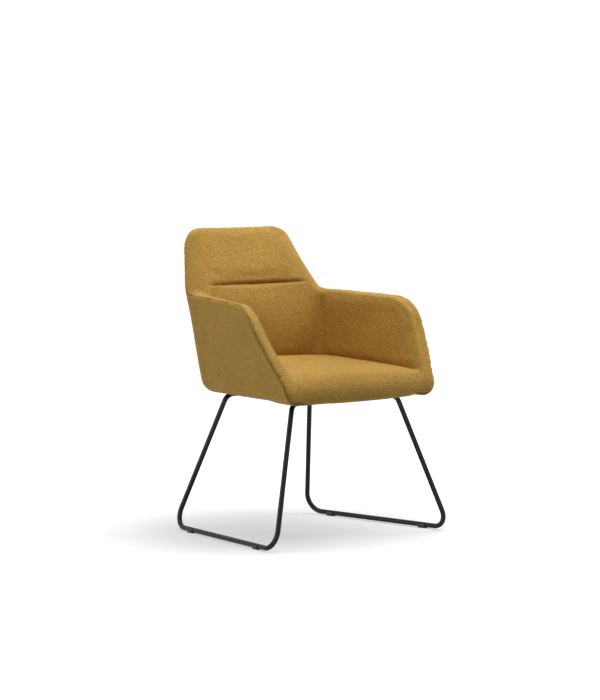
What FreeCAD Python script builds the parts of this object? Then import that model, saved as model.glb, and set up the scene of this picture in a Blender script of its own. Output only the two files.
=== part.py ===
"""Upholstered visitor chair on a sled base of bent steel rod, in millimetres.

The chair faces -Y, +Z is up, and X is zero on its plane of symmetry. The origin is on the floor,
under the middle of the chair. Left and right are those of the person who sits in it, so left is +X.
"""

import FreeCAD
import Part
import Sketcher
import math
import os

Vec = FreeCAD.Vector

SIZES = [
    ("rod_diameter", 14.0, "steel rod of the sled base"),
    ("floor_gap", 2.0, "height of the rod above the floor, on its glides"),
    ("runner_lead", 23.5, "middle of the runners, ahead of the origin"),
    ("base_length", 529.0, "runner, between the corners of the rod's centre line"),
    ("base_front_width", 625.0, "between the runners' centre lines, at the front corners"),
    ("base_back_width", 486.0, "between the runners' centre lines, at the back corners"),
    ("crossbar_height", 381.0, "centre line of both crossbars above the floor"),
    ("front_bar_width", 375.0, "front crossbar, between its corners"),
    ("back_bar_width", 301.0, "back crossbar, between its corners"),
    ("front_bar_reach", 183.0, "front crossbar, ahead of the middle of the runners"),
    ("back_bar_reach", 142.0, "back crossbar, behind the middle of the runners"),
    ("floor_bend", 42.0, "radius of the rod's bends at the floor"),
    ("seat_bend", 26.0, "radius of the rod's bends under the seat"),
    ("glide_length", 26.0, "plastic glide, along the runner"),
    ("glide_wall", 2.0, "plastic glide, round the rod"),
    ("glide_grip", 2.1, "height of the glide's arms above the middle of the rod"),
    ("sole_width", 12.0, "flat sole of the glide"),
    ("glide_inset", 95.0, "glide's middle, from the corner of the runner"),
    ("rail_width", 30.0, "flat steel rail on the crossbars"),
    ("rail_thickness", 4.0, "flat steel rail on the crossbars"),
    ("rail_spacing", 190.0, "between the middles of the two rails"),
    ("rail_overhang", 8.0, "rail's end beyond the middle of a crossbar"),
    ("screw_inset", 62.0, "screw's axis, from the middle of a crossbar"),
    ("screw_diameter", 6.0, "screws that hold the base to the shell"),
    ("screw_head", 11.0, "diameter of the button head"),
    ("head_height", 3.4, "height of the button head"),
    ("socket_width", 4.0, "hexagon socket, across its corners"),
    ("socket_depth", 1.7, "hexagon socket"),
    ("washer_diameter", 14.0, "plain washer"),
    ("washer_thickness", 1.4, "plain washer"),
    ("insert_diameter", 9.0, "barrel of the threaded insert"),
    ("insert_flange", 20.0, "flange of the threaded insert"),
    ("flange_thickness", 1.5, "flange of the threaded insert"),
    ("play", 0.3, "gap left round whatever fits into or against something"),
    ("cover_thickness", 5.0, "outer cover, fabric on wadding"),
    ("shell_thickness", 8.0, "moulded inner shell"),
    ("lining_thickness", 0.8, "black lining under the seat"),
    ("arm_level", 267.0, "widest level of the tub, above its underside"),
    ("head_level", 457.0, "level to which the back's faces are drawn"),
    ("bottom_half_width", 234.0, "outer face at the bottom, half width at mid depth"),
    ("arm_half_width", 281.0, "outer face at the arm level"),
    ("head_half_width", 285.0, "outer face at the head level"),
    ("bottom_toe", 0.142, "outer face at the bottom, narrowing per unit of depth"),
    ("arm_toe", 0.190, "outer face at the arm level"),
    ("head_toe", 0.080, "outer face at the head level"),
    ("bottom_rear", 216.0, "outer face at the bottom, rearmost point"),
    ("arm_rear", 259.0, "outer face at the arm level"),
    ("head_rear", 304.0, "outer face at the head level"),
    ("shoulder_swell", 4.0, "outer face, bulge to the rear between the arm and head levels"),
    ("bottom_corner", 68.0, "outer face at the bottom, radius of the rear corner in plan"),
    ("arm_corner", 75.0, "outer face at the arm level"),
    ("back_bow", 9.0, "bow of the back between its rear corners"),
    ("under_radius", 42.0, "round with which the outer face turns under the seat"),
    ("seat_side_padding", 38.0, "from the outer to the inner face at the bottom, at the sides"),
    ("arm_side_padding", 38.0, "from the outer to the inner face at the arm level"),
    ("head_side_padding", 23.0, "from the outer to the inner face at the head level"),
    ("inner_bottom_toe", 0.075, "inner face at the bottom, narrowing per unit of depth"),
    ("inner_arm_toe", 0.190, "inner face at the arm level"),
    ("inner_head_toe", 0.100, "inner face at the head level"),
    ("seat_rear_padding", 62.0, "from the outer to the inner face at the bottom, at the rear"),
    ("arm_rear_padding", 72.0, "from the outer to the inner face at the arm level"),
    ("head_rear_padding", 42.0, "from the outer to the inner face at the head level"),
    ("inner_corner", 50.0, "radius of the inner rear corner in plan"),
    ("arm_height", 264.5, "top of the arm over the middle of the runners, above the tub's underside"),
    ("arm_rise", 2.2, "degrees by which the arm's top rises to the back"),
    ("arm_front", 125.5, "corner of the arm's top and front, ahead of the middle"),
    ("arm_front_angle", 30.0, "degrees by which the arm's front leans"),
    ("arm_corner_radius", 104.0, "round from the arm's top to its front"),
    ("seat_front", 257.0, "front of the seat, ahead of the middle of the runners"),
    ("seat_front_round", 70.0, "round from the arm's front to the seat's front"),
    ("fold_angle", 35.0, "degrees, in plan, of the fold between each arm and the back"),
    ("rear_seam_width", 320.0, "between the outer cover's rear seams, at the bottom"),
    ("band_depth", 16.0, "padded band along the arm's top and front"),
    ("seam_depth", 3.5, "seam of the outer cover below the band's crest"),
    ("back_height", 450.0, "top of the back, above the tub's underside"),
    ("back_foot_inset", 39.0, "back's edge at the arm's top, inside the tub's half width there"),
    ("back_foot_round", 20.0, "round between the arms' tops and the back"),
    ("back_waist_height", 312.0, "level of the back's waist, above the tub's underside"),
    ("back_waist_inset", 62.0, "back's edge at its waist, inside the tub's half width at the arm level"),
    ("back_waist_round", 60.0, "round of the back's outline at its waist"),
    ("back_top_width", 348.0, "back at its top, between the corners of its outline"),
    ("back_top_round", 72.0, "rounds of the back's upper corners"),
    ("back_thickness", 73.0, "back's front face at the tuck, ahead of the outer face at the arm level"),
    ("crest_thickness", 45.0, "back's front face at its crest, ahead of the outer face at the head level"),
    ("back_hollow", 5.0, "hollow of the back's front face"),
    ("side_round_width", 45.0, "round of the back's sides, across"),
    ("side_round_depth", 32.0, "round of the back's sides, to the rear"),
    ("crest_round", 19.0, "round of the back's crest"),
    ("tuck_height", 294.0, "horizontal tuck across the back, above the tub's underside"),
    ("tuck_depth", 13.0, "tuck, at its middle"),
    ("tuck_half_length", 187.0, "tuck, from its middle to where it fades"),
    ("tuck_angle", 32.0, "degrees by which each lip of the tuck slopes"),
    ("seat_edge_height", 58.0, "top of the seat's front edge at the arms, above the tub's underside"),
    ("seat_rear_height", 71.5, "top of the seat's rear edge, above the tub's underside"),
    ("seat_crown", 11.0, "rise of the seat's top, both ways"),
    ("seat_top_round", 1500.0, "round of the seat's top from front to back"),
    ("front_roll", 24.0, "round of the seat's upper front edge"),
    ("front_belly", 49.0, "round between the seat's sloping front and its upright lip"),
    ("lip_drop", 7.0, "front roll's lowest point, below the tub's underside"),
    ("lip_depth", 28.0, "front roll, from front to back below the shell"),
    ("lip_round", 13.0, "rounds of the front roll's lower edges"),
    ("seat_side_drop", 9.0, "front roll's underside, higher at the sides"),
    ("seat_rear_round", 10.0, "round of the seat's upper rear edge, behind the back"),
    ("seat_under_round", 2.0, "round between the seat's underside and its front roll"),
    ("hidden_round", 1.0, "round of an outline's corners that lie outside the chair"),
]

doc = FreeCAD.newDocument("visitor_chair")
sheet = doc.addObject("Spreadsheet::Sheet", "sizes")
for row, (alias, value, note) in enumerate(SIZES, start=1):
    sheet.set("A%d" % row, alias)
    sheet.set("B%d" % row, str(value))
    sheet.set("C%d" % row, note)
    sheet.setAlias("B%d" % row, alias)
doc.recompute()


def size(alias):
    """Value of a driving dimension."""
    return float(sheet.get(alias))


PLAY = size("play")
ROD_RADIUS = size("rod_diameter") / 2
RUNNER_HEIGHT = size("floor_gap") + ROD_RADIUS
RAIL_BOTTOM = size("crossbar_height") + ROD_RADIUS + PLAY / 2
RAIL_TOP = RAIL_BOTTOM + size("rail_thickness")
LINING_BOTTOM = RAIL_TOP + PLAY / 2
SHELL_BOTTOM = LINING_BOTTOM + size("lining_thickness") + PLAY / 2
SHELL_INSET = size("cover_thickness") + PLAY
PAD_INSET = SHELL_INSET + size("shell_thickness") + PLAY
TUB_BOTTOM = SHELL_BOTTOM - SHELL_INSET
FLOOR_TOP = SHELL_BOTTOM + size("shell_thickness")
SCREW_FRONT = -size("front_bar_reach") + size("screw_inset")
SCREW_BACK = size("back_bar_reach") - size("screw_inset")
SLIDE = FreeCAD.Placement(Vec(0, -size("runner_lead"), 0), FreeCAD.Rotation())
# Lengths that only have to reach past the piece they cut or bound
BEYOND = 60.0
MARGIN = 20.0
WIDE = 400.0

nodes = {}


def height(alias):
    """Level that the sheet gives above the tub's underside."""
    return TUB_BOTTOM + size(alias)


def keep(name, thing):
    """Registers a document object as a piece of the chair, moved from the runners' middle to the origin."""
    thing.Label = name
    thing.Placement = SLIDE.multiply(thing.Placement)
    nodes[name] = thing


def feature(name, shape):
    """Document object that holds a computed shape."""
    thing = doc.addObject("Part::Feature", name)
    thing.Shape = shape
    return thing


def cut(name, base, tool):
    thing = doc.addObject("Part::Cut", name)
    thing.Base = base
    thing.Tool = tool
    return thing


def common(name, *shapes):
    thing = doc.addObject("Part::MultiCommon", name)
    thing.Shapes = list(shapes)
    return thing


def fuse(name, *shapes):
    thing = doc.addObject("Part::MultiFuse", name)
    thing.Shapes = list(shapes)
    return thing


def keep_both(name, left):
    """Registers a left-hand piece and its mirror image."""
    keep(name + "_left", left)
    right = doc.addObject("Part::Mirroring", name + "_mirror")
    right.Source = left
    right.Normal = Vec(1, 0, 0)
    right.Label = name + "_right"
    nodes[right.Label] = right


# Sled base

def rounded_path(points, radii):
    """Wire of straight runs through the points, joined by tangent arcs."""
    edges = []
    start = points[0]
    for before, corner, after, radius in zip(points, points[1:], points[2:], radii):
        arriving = (corner - before).normalize()
        leaving = (after - corner).normalize()
        half_turn = arriving.getAngle(leaving) / 2
        reach = radius * math.tan(half_turn)
        inward = (leaving - arriving).normalize()
        middle = corner + inward * (radius / math.cos(half_turn) - radius)
        first = corner - arriving * reach
        last = corner + leaving * reach
        edges.append(Part.LineSegment(start, first).toShape())
        edges.append(Part.Arc(first, middle, last).toShape())
        start = last
    edges.append(Part.LineSegment(start, points[-1]).toShape())
    return Part.Wire(edges)


front_corner = Vec(size("base_front_width") / 2, -size("base_length") / 2, RUNNER_HEIGHT)
back_corner = Vec(size("base_back_width") / 2, size("base_length") / 2, RUNNER_HEIGHT)
front_top = Vec(size("front_bar_width") / 2, -size("front_bar_reach"), size("crossbar_height"))
back_top = Vec(size("back_bar_width") / 2, size("back_bar_reach"), size("crossbar_height"))
front_middle = Vec(0, front_top.y, front_top.z)
back_middle = Vec(0, back_top.y, back_top.z)

rod_path = feature("rod_path", rounded_path(
    [front_middle, front_top, front_corner, back_corner, back_top, back_middle],
    [size("seat_bend"), size("floor_bend"), size("floor_bend"), size("seat_bend")]))

rod_section = doc.addObject("Part::Circle", "rod_section")
rod_section.setExpression("Radius", "sizes.rod_diameter / 2")
rod_section.Placement = FreeCAD.Placement(front_middle, FreeCAD.Rotation(Vec(0, 0, 1), Vec(1, 0, 0)))

rod = doc.addObject("Part::Sweep", "rod_left")
rod.Sections = [rod_section]
rod.Spine = (rod_path, ["Edge%d" % n for n in range(1, len(rod_path.Shape.Edges) + 1)])
rod.Solid = True
rod.Frenet = False
keep_both("sled_rod", rod)


def origin_plane(body, role):
    for thing in body.Origin.OriginFeatures:
        if thing.Role == role:
            return thing
    raise ValueError(role)


def sketch_on(body, role, name):
    sketch = body.newObject("Sketcher::SketchObject", name)
    sketch.AttachmentSupport = (origin_plane(body, role), [""])
    sketch.MapMode = "FlatFace"
    return sketch


def rail():
    """Flat rail that lies across both crossbars and takes two screws."""
    body = doc.addObject("PartDesign::Body", "rail")
    sketch = sketch_on(body, "XY_Plane", "rail_outline")
    half = size("rail_width") / 2
    front = -size("front_bar_reach") - size("rail_overhang")
    back = size("back_bar_reach") + size("rail_overhang")
    corners = [Vec(-half, front, 0), Vec(half, front, 0), Vec(half, back, 0), Vec(-half, back, 0)]
    for first, second in zip(corners, corners[1:] + corners[:1]):
        sketch.addGeometry(Part.LineSegment(first, second), False)
    for line in range(4):
        sketch.addConstraint(Sketcher.Constraint("Coincident", line, 2, (line + 1) % 4, 1))
    for line, kind in enumerate(("Horizontal", "Vertical", "Horizontal", "Vertical")):
        sketch.addConstraint(Sketcher.Constraint(kind, line))
    rules = (
        ("half_width", "DistanceX", (-1, 1, 0, 2), half, "sizes.rail_width / 2"),
        ("width", "DistanceX", (0, 1, 0, 2), 2 * half, "sizes.rail_width"),
        ("front", "DistanceY", (0, 1, -1, 1), -front, "sizes.front_bar_reach + sizes.rail_overhang"),
        ("back", "DistanceY", (-1, 1, 2, 1), back, "sizes.back_bar_reach + sizes.rail_overhang"),
    )
    for alias, kind, ends, value, rule in rules:
        sketch.addConstraint(Sketcher.Constraint(kind, *ends, value))
        sketch.renameConstraint(sketch.ConstraintCount - 1, alias)
        sketch.setExpression("Constraints." + alias, rule)
    holes = (("front_hole", SCREW_FRONT, "sizes.front_bar_reach - sizes.screw_inset"),
             ("back_hole", SCREW_BACK, "sizes.back_bar_reach - sizes.screw_inset"))
    for alias, place, rule in holes:
        ring = sketch.addGeometry(Part.Circle(Vec(0, place, 0), Vec(0, 0, 1), 3), False)
        sketch.addConstraint(Sketcher.Constraint("PointOnObject", ring, 3, -2))
        sketch.addConstraint(Sketcher.Constraint("Radius", ring, 3))
        sketch.renameConstraint(sketch.ConstraintCount - 1, alias + "_radius")
        sketch.setExpression("Constraints.%s_radius" % alias, "sizes.screw_diameter / 2 + sizes.play")
        ends = (ring, 3, -1, 1) if place < 0 else (-1, 1, ring, 3)
        sketch.addConstraint(Sketcher.Constraint("DistanceY", *ends, abs(place)))
        sketch.renameConstraint(sketch.ConstraintCount - 1, alias)
        sketch.setExpression("Constraints." + alias, rule)
    pad = body.newObject("PartDesign::Pad", "rail_pad")
    pad.Profile = sketch
    pad.setExpression("Length", "sizes.rail_thickness")
    body.Placement = FreeCAD.Placement(Vec(size("rail_spacing") / 2, 0, RAIL_BOTTOM), FreeCAD.Rotation())
    return body


keep_both("mounting_rail", rail())


def cylinder(name, radius_rule, height_rule, base):
    thing = doc.addObject("Part::Cylinder", name)
    thing.setExpression("Radius", radius_rule)
    thing.setExpression("Height", height_rule)
    thing.Placement = FreeCAD.Placement(base, FreeCAD.Rotation())
    return thing


def repeated(name, master, places):
    """One object with a copy of the master's solid at each place."""
    doc.recompute()
    copies = []
    for place in places:
        copy = master.Shape.copy()
        copy.Placement = place.multiply(copy.Placement)
        copies.append(copy)
    return feature(name, Part.makeCompound(copies))


screw_places = [
    FreeCAD.Placement(Vec(side * size("rail_spacing") / 2, y, 0), FreeCAD.Rotation())
    for side in (1, -1) for y in (SCREW_FRONT, SCREW_BACK)]

# Screws from below, through washer, rail, lining and insert
WASHER_BOTTOM = RAIL_BOTTOM - size("washer_thickness")
HEAD_BOTTOM = WASHER_BOTTOM - size("head_height")
shank_rule = ("sizes.washer_thickness + sizes.rail_thickness + sizes.play / 2 + sizes.lining_thickness"
              " + sizes.play / 2 + sizes.shell_thickness")
shank = cylinder("shank", "sizes.screw_diameter / 2", shank_rule, Vec(0, 0, WASHER_BOTTOM))
head = cylinder("head", "sizes.screw_head / 2", "sizes.head_height", Vec(0, 0, HEAD_BOTTOM))
round_head = doc.addObject("Part::Fillet", "round_head")
round_head.Base = head
doc.recompute()
round_head.Edges = [(number, size("head_height") / 2, size("head_height") / 2)
                    for number, edge in enumerate(head.Shape.Edges, start=1)
                    if edge.BoundBox.ZMax < HEAD_BOTTOM + size("head_height") / 2]
socket = doc.addObject("Part::Prism", "socket")
socket.Polygon = 6
socket.setExpression("Circumradius", "sizes.socket_width / 2")
socket.setExpression("Height", "sizes.socket_depth")
socket.Placement = FreeCAD.Placement(Vec(0, 0, HEAD_BOTTOM), FreeCAD.Rotation())
screw = cut("screw", fuse("screw_blank", shank, round_head), socket)
keep("base_screws", repeated("screws", screw, screw_places))

washer = cut("washer",
             cylinder("washer_disc", "sizes.washer_diameter / 2", "sizes.washer_thickness",
                      Vec(0, 0, WASHER_BOTTOM)),
             cylinder("washer_hole", "sizes.screw_diameter / 2 + sizes.play", "sizes.washer_thickness",
                      Vec(0, 0, WASHER_BOTTOM)))
keep("base_washers", repeated("washers", washer, screw_places))

insert_blank = fuse(
    "insert_blank",
    cylinder("insert_barrel", "sizes.insert_diameter / 2", "sizes.shell_thickness", Vec(0, 0, SHELL_BOTTOM)),
    cylinder("insert_disc", "sizes.insert_flange / 2", "sizes.flange_thickness", Vec(0, 0, FLOOR_TOP)))
insert = cut("insert", insert_blank,
             cylinder("insert_bore", "sizes.screw_diameter / 2 + sizes.play / 2",
                      "sizes.shell_thickness + sizes.flange_thickness", Vec(0, 0, SHELL_BOTTOM)))
keep("threaded_inserts", repeated("inserts", insert, screw_places))


# Glides: open clips under the runners

def glide():
    """Clip round the lower half of a rod that runs along Y, with a flat sole on the floor."""
    bore = ROD_RADIUS + PLAY / 2
    outer = bore + size("glide_wall")
    arms = Part.makeCylinder(outer, size("glide_length"), Vec(0, 0, RUNNER_HEIGHT), Vec(0, 1, 0))
    hollow = Part.makeCylinder(bore, size("glide_length"), Vec(0, 0, RUNNER_HEIGHT), Vec(0, 1, 0))
    mouth = Part.makeBox(4 * outer, size("glide_length"), 2 * outer,
                         Vec(-2 * outer, 0, RUNNER_HEIGHT + size("glide_grip")))
    below = Part.makeBox(4 * outer, size("glide_length"), outer, Vec(-2 * outer, 0, -outer))
    sole = Part.makeBox(size("sole_width"), size("glide_length"), RUNNER_HEIGHT / 2,
                        Vec(-size("sole_width") / 2, 0, 0))
    return arms.fuse(sole).cut(hollow).cut(mouth).cut(below).removeSplitter()


glide_master = feature("glide_master", glide())
glide_places = []
for side in (1, -1):
    front = Vec(side * front_corner.x, front_corner.y, 0)
    back = Vec(side * back_corner.x, back_corner.y, 0)
    along = (back - front).normalize()
    turn = FreeCAD.Rotation(Vec(0, 1, 0), along)
    reach = size("glide_inset") - size("glide_length") / 2
    glide_places.append(FreeCAD.Placement(front + along * reach, turn))
    glide_places.append(FreeCAD.Placement(back - along * (reach + size("glide_length")), turn))
keep("floor_glides", repeated("glides", glide_master, glide_places))


# Faces of the tub, lofted through plan outlines at five heights

def between(level, low, arm, high):
    """Value at a height, from those at the bottom, at the arm level and at the head level."""
    bottom, middle, top = TUB_BOTTOM, height("arm_level"), height("head_level")
    if level <= middle:
        return low + (arm - low) * (level - bottom) / (middle - bottom)
    return arm + (high - arm) * (level - middle) / (top - middle)


def rear_corner(half_width, toe, rear, corner, bow):
    """Centre of the round rear corner in plan, and the point where the side meets its round."""
    slant = math.hypot(1, toe)
    centre_y = rear - bow - corner
    touch_y = centre_y + corner * toe / slant
    touch_x = half_width - toe * touch_y
    return Vec(touch_x - corner / slant, centre_y, 0), Vec(touch_x, touch_y, 0)


def plan_outline(level, half_width, toe, rear, corner, bow, front):
    """Closed outline: straight sides that draw in to the back, round corners and a bowed back."""
    centre, touch = rear_corner(half_width, toe, rear, corner, bow)
    reach = (centre.x ** 2 + bow ** 2) / (2 * bow)
    swing = math.asin(centre.x / reach)
    halfway = (swing + math.pi / 2 - math.atan(toe)) / 2

    def side_points(sign):
        """Front end, start, middle and end of the round corner."""
        points = [Vec(sign * (half_width - toe * front), front, level), Vec(sign * touch.x, touch.y, level)]
        for angle in (halfway, swing):
            x = centre.x + corner * math.sin(angle)
            points.append(Vec(sign * x, centre.y + corner * math.cos(angle), level))
        return points

    left, right = side_points(1), side_points(-1)
    edges = [
        Part.LineSegment(right[0], left[0]),
        Part.LineSegment(left[0], left[1]),
        Part.Arc(left[1], left[2], left[3]),
        Part.Arc(left[3], Vec(0, rear, level), right[3]),
        Part.Arc(right[3], right[2], right[1]),
        Part.LineSegment(right[1], right[0]),
    ]
    return Part.Wire([edge.toShape() for edge in edges])


OUTER = (("bottom_half_width", "arm_half_width", "head_half_width"), ("bottom_toe", "arm_toe", "head_toe"),
         ("bottom_rear", "arm_rear", "head_rear"), ("bottom_corner", "arm_corner", "arm_corner"))
INNER = (OUTER[0], ("inner_bottom_toe", "inner_arm_toe", "inner_head_toe"), OUTER[2], ("inner_corner",) * 3)
PADDING = (("seat_side_padding", "arm_side_padding", "head_side_padding"),
           ("seat_rear_padding", "arm_rear_padding", "head_rear_padding"))


def plan_values(face, level):
    """Half width, toe, rear and corner radius of a face at a height."""
    values = [between(level, *(size(alias) for alias in names)) for names in face]
    above = (level - height("arm_level")) / (size("head_level") - size("arm_level"))
    if face is INNER:
        values[0] -= between(level, *(size(alias) for alias in PADDING[0]))
        values[2] -= between(level, *(size(alias) for alias in PADDING[1]))
    elif 0 < above < 1:
        values[2] += size("shoulder_swell") * 4 * above * (1 - above)
    return values


def tub(name, inset, face=OUTER, below=0):
    """Solid inside one of the tub's two faces, moved inwards by the inset and drawn further down by below."""
    bottom, arm, top = TUB_BOTTOM + inset - below, height("arm_level"), height("head_level")
    sections = []
    for number, level in enumerate((bottom, (bottom + arm) / 2, arm, (arm + top) / 2, top + BEYOND)):
        half, toe, rear, corner = plan_values(face, level)
        wire = plan_outline(level, half - inset * math.hypot(1, toe), toe, rear - inset, corner - inset,
                            size("back_bow"), -size("seat_front") - BEYOND - inset)
        sections.append(feature("%s_section_%d" % (name, number), wire))
    loft = doc.addObject("Part::Loft", name)
    loft.Sections = sections
    loft.Solid = True
    loft.Ruled = False
    return loft


def rounded_under(name, base, radius):
    """The same solid with its side and rear edges rounded where they turn under the seat."""
    doc.recompute()
    low = min(edge.BoundBox.ZMax for edge in base.Shape.Edges)
    front = base.Shape.BoundBox.YMin
    turned = doc.addObject("Part::Fillet", name)
    turned.Base = base
    turned.Edges = [(number, radius, radius) for number, edge in enumerate(base.Shape.Edges, start=1)
                    if edge.BoundBox.ZMax < low + PLAY and edge.BoundBox.YMax > front + PLAY]
    return turned


def arm_outline(name, inset):
    """Prism across the chair with the arms' side outline and the seat's front, moved in by the inset."""
    rise = math.tan(math.radians(size("arm_rise")))
    lean = math.tan(math.radians(size("arm_front_angle")))
    corner = Vec(0, -size("arm_front"), height("arm_height") - rise * size("arm_front"))
    rear = size("head_rear") + BEYOND
    drop = inset * math.hypot(1, rise)
    back = inset * math.hypot(1, lean)
    low = TUB_BOTTOM - BEYOND
    front = -size("seat_front") + inset
    # Top: z = top + rise * y. Front: y = lead - lean * (corner.z - z) for z below the corner.
    top = height("arm_height") - drop
    lead = corner.y + back
    corner_y = (lead - lean * (corner.z - top)) / (1 - lean * rise)
    upper = Vec(0, corner_y, top + rise * corner_y)
    lower = Vec(0, front, corner.z - (lead - front) / lean)
    wire = rounded_path(
        [Vec(0, rear, low), Vec(0, rear, top + rise * rear), upper, lower, Vec(0, front, low),
         Vec(0, rear, low)],
        [size("hidden_round"), size("arm_corner_radius") - inset, size("seat_front_round") - inset,
         size("hidden_round")])
    face = Part.Face(wire)
    prism = face.extrude(Vec(2 * WIDE, 0, 0))
    prism.translate(Vec(-WIDE, 0, 0))
    return feature(name, prism)


BACK_FOOT = size("arm_half_width") - size("back_foot_inset")
BACK_WAIST = size("arm_half_width") - size("back_waist_inset")


def back_outline(name, inset):
    """Prism from front to back with the front outline of the upper back, moved in by the inset."""
    foot = BACK_FOOT - inset
    waist = BACK_WAIST - inset
    crown = size("back_top_width") / 2 - inset
    top = height("back_height") - inset
    low = height("arm_height") - inset
    waist_level = height("back_waist_height")
    shoulder = Vec(crown, 0, top)
    side_point = Vec(waist, 0, waist_level)
    foot_point = Vec(foot, 0, low)
    opposite = [Vec(-point.x, 0, point.z) for point in (shoulder, side_point, foot_point)]
    base = Vec(foot, 0, low - BEYOND)
    wire = rounded_path(
        [Vec(0, 0, base.z), base, foot_point, side_point, shoulder,
         opposite[0], opposite[1], opposite[2], Vec(-base.x, 0, base.z), Vec(0, 0, base.z)],
        [size("hidden_round"), size("back_foot_round"), size("back_waist_round"),
         size("back_top_round") - inset, size("back_top_round") - inset, size("back_waist_round"),
         size("back_foot_round"), size("hidden_round")])
    prism = Part.Face(wire).extrude(Vec(0, 2 * WIDE, 0))
    return feature(name, prism)


def slab(name, point, normal):
    """Large block that fills the side of a plane to which its normal points."""
    block = Part.makeBox(4 * WIDE, 4 * WIDE, 3 * WIDE, Vec(-2 * WIDE, -2 * WIDE, 0))
    block.Placement = FreeCAD.Placement(point, FreeCAD.Rotation(Vec(0, 0, 1), normal))
    return feature(name, block)


def back_half_width(level):
    """Half width of the upper back's outline, without its rounds."""
    low, middle, top = height("arm_height"), height("back_waist_height"), height("back_height")
    if level < middle:
        return BACK_WAIST + (BACK_FOOT - BACK_WAIST) * (middle - level) / (middle - low)
    return BACK_WAIST + (size("back_top_width") / 2 - BACK_WAIST) * (level - middle) / (top - middle)


def back_front(level):
    """Front face of the upper back at mid width."""
    low = size("arm_rear") - size("back_thickness")
    high = size("head_rear") - size("crest_thickness")
    slope = (high - low) / (size("back_height") - size("crest_round") - size("tuck_height"))
    return low + slope * (level - height("tuck_height"))


def back_section(name, level, inset):
    """Plan outline of the upper back: nearly flat in front, with sides that round off to the rear."""
    half = back_half_width(level) - inset
    front = back_front(level) + inset
    flat = half - size("side_round_width")
    deep = size("side_round_depth")
    radius = (size("side_round_width") ** 2 + deep ** 2) / (2 * deep)
    part_way = size("side_round_width") / 2
    dip = radius - math.sqrt(radius ** 2 - part_way ** 2)
    rear = size("head_rear") + BEYOND
    side = [Vec(sign * x, y, level) for sign in (1, -1) for x, y in (
        (flat, front), (flat + part_way, front + dip), (half, front + deep), (half, rear))]
    edges = [
        Part.Arc(side[4], Vec(0, front + size("back_hollow"), level), side[0]),
        Part.Arc(side[0], side[1], side[2]),
        Part.LineSegment(side[2], side[3]),
        Part.LineSegment(side[3], side[7]),
        Part.LineSegment(side[7], side[6]),
        Part.Arc(side[6], side[5], side[4]),
    ]
    return feature(name, Part.Wire([edge.toShape() for edge in edges]))


def back_room(name, inset):
    """Space behind the upper back's front face."""
    low, waist, top = height("arm_height") - BEYOND, height("back_waist_height"), height("back_height")
    levels = [low, (low + waist) / 2, waist, (waist + top) / 2, top + MARGIN]
    loft = doc.addObject("Part::Loft", name)
    loft.Sections = [back_section("%s_section_%d" % (name, n), level, inset)
                     for n, level in enumerate(levels)]
    loft.Solid = True
    loft.Ruled = False
    return loft


def crest_outline(name, inset):
    """Prism across the chair whose top is rounded like the crest of the back."""
    top = height("back_height") - inset
    lead = back_front(top) - size("crest_round") / 2 + inset
    tail = size("head_rear") - inset
    low = height("arm_height") - 2 * BEYOND
    start = Vec(0, back_front(low) - BEYOND, low)
    crest = size("crest_round") - inset / 2
    wire = rounded_path([Vec(0, 0, low), start, Vec(0, lead, top), Vec(0, tail, top),
                         Vec(0, tail + BEYOND, low), Vec(0, 0, low)],
                        [size("hidden_round"), crest, crest, size("hidden_round")])
    prism = Part.Face(wire).extrude(Vec(2 * WIDE, 0, 0))
    prism.translate(Vec(-WIDE, 0, 0))
    return feature(name, prism)


def outline(name, inset):
    """Everything inside the chair's side outline or inside its upper back."""
    back = common(name + "_back", back_outline(name + "_back_outline", inset),
                  back_room(name + "_back_room", inset), crest_outline(name + "_crest", inset))
    return fuse(name, arm_outline(name + "_arm_outline", inset), back)


outer_face = rounded_under("outer_face", tub("outer_loft", 0), size("under_radius"))
cover_inner = rounded_under("cover_inner", tub("cover_loft", size("cover_thickness")),
                            size("under_radius") - size("cover_thickness"))
shell_outer = rounded_under("shell_outer", tub("shell_loft", SHELL_INSET),
                            size("under_radius") - SHELL_INSET)
shell_inner = rounded_under("shell_inner", tub("shell_inner_loft", SHELL_INSET + size("shell_thickness")),
                            size("under_radius") - SHELL_INSET - size("shell_thickness"))
pad_outer = rounded_under("pad_outer", tub("pad_loft", PAD_INSET), size("under_radius") - PAD_INSET)
cavity = tub("cavity", 0, INNER, BEYOND)
cushion_side = tub("cushion_side", PLAY, INNER, BEYOND)

full = outline("full_outline", 0)
seam = outline("seam_outline", size("seam_depth"))
pocket_outline = outline("pocket_outline", size("band_depth"))
shell_outline = outline("shell_outline", size("band_depth") + PLAY)
arm_inside = arm_outline("arm_inside", size("band_depth"))
arm_pad_outline = arm_outline("arm_pad_outline", size("band_depth") + PLAY)


def box(name, low, high):
    thing = doc.addObject("Part::Box", name)
    thing.Length, thing.Width, thing.Height = high.x - low.x, high.y - low.y, high.z - low.z
    thing.Placement = FreeCAD.Placement(low, FreeCAD.Rotation())
    return thing


def bores(name, diameter, bottom, top):
    """Four upright cylinders on the axes of the base screws."""
    drills = [Part.makeCylinder(diameter / 2, top - bottom, place.Base + Vec(0, 0, bottom))
              for place in screw_places]
    return feature(name, Part.makeCompound(drills))


# Moulded inner shell, with its front edge behind the seat's front roll
LIP_BACK = -size("seat_front") + size("lip_depth")
lip_room = common("lip_room", cavity, box("lip_box", Vec(-WIDE, -WIDE, 0),
                                          Vec(WIDE, LIP_BACK + PLAY, height("arm_height") + BEYOND)))
shell_wall = common("shell_wall", cut("shell_skin", shell_outer, shell_inner), shell_outline)
shell_open = cut("shell_open", shell_wall, lip_room)
keep("inner_shell", cut("shell", shell_open,
                        bores("insert_bores", size("insert_diameter") + 2 * PLAY,
                              SHELL_BOTTOM - PLAY, FLOOR_TOP + PLAY)))

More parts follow.
